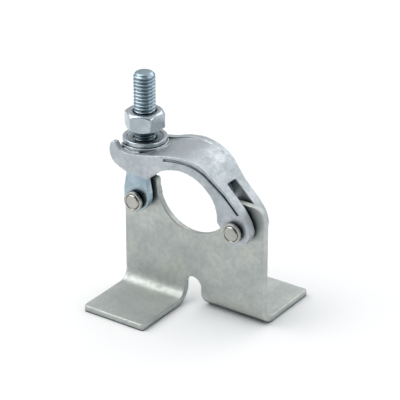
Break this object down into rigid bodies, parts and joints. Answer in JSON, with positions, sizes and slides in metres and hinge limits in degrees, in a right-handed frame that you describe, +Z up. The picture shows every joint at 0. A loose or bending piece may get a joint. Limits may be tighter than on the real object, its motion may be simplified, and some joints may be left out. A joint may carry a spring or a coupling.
{
  "type": "scaffold coupler clamp",
  "caption": "Board retaining scaffold coupler: pressed bracket with opposed feet, hinged forged cap, and a swing fork bolt with nut and washer.",
  "frame": {"origin": "centre of the round tube seat, in the mid-plane of the bracket plate, 72 mm above the underside of the feet", "axes": "+X from the bolt side to the hinge side, +Y along the clamped tube towards the rear foot, +Z up from the feet towards the nut"},
  "size_m": [0.0969, 0.09, 0.1384],
  "materials": {
    "bracket_zinc": "satin zinc plating",
    "cap_zinc": "satin zinc plating",
    "bolt_zinc": "satin zinc plating",
    "nut_zinc": "satin zinc plating",
    "washer_zinc": "satin zinc plating",
    "rivet_steel": "bare polished steel",
    "spacer_zinc": "satin zinc plating"
  },
  "bodies": {
    "bracket": {"bracket_plate": "bracket_zinc", "bolt_rivet": "rivet_steel", "hinge_rivet": "rivet_steel", "bolt_rivet_washer": "spacer_zinc", "hinge_rivet_washer": "spacer_zinc", "bolt_spacer_front": "spacer_zinc", "bolt_spacer_rear": "spacer_zinc", "hinge_spacer_front": "spacer_zinc", "hinge_spacer_rear": "spacer_zinc"},
    "cap": {"clamp_cap": "cap_zinc"},
    "bolt": {"fork_bolt": "bolt_zinc"},
    "washer": {"saddle_washer": "washer_zinc"},
    "nut": {"hex_nut": "nut_zinc"}
  },
  "joints": [
    {"name": "cap_hinge", "type": "hinge", "parent": "bracket", "child": "cap", "pos_m": [0.0344, 0, -0.0102], "axis": [0, 1, 0], "range_deg": [0, 3.8]},
    {"name": "bolt_swing", "type": "hinge", "parent": "bracket", "child": "bolt", "pos_m": [-0.0344, 0, -0.0102], "axis": [0, -1, 0], "range_deg": [0, 95]},
    {"name": "washer_lift", "type": "slide", "parent": "bolt", "child": "washer", "axis": [0, 0, 1], "range_m": [0, 0.0046]},
    {"name": "nut_travel", "type": "slide", "parent": "bolt", "child": "nut", "axis": [0, 0, 1], "range_m": [0, 0.02]}
  ],
  "couplings": [
    {"joint": "washer_lift", "follows": "cap_hinge", "m_per_rad": 0.0689}
  ]
}
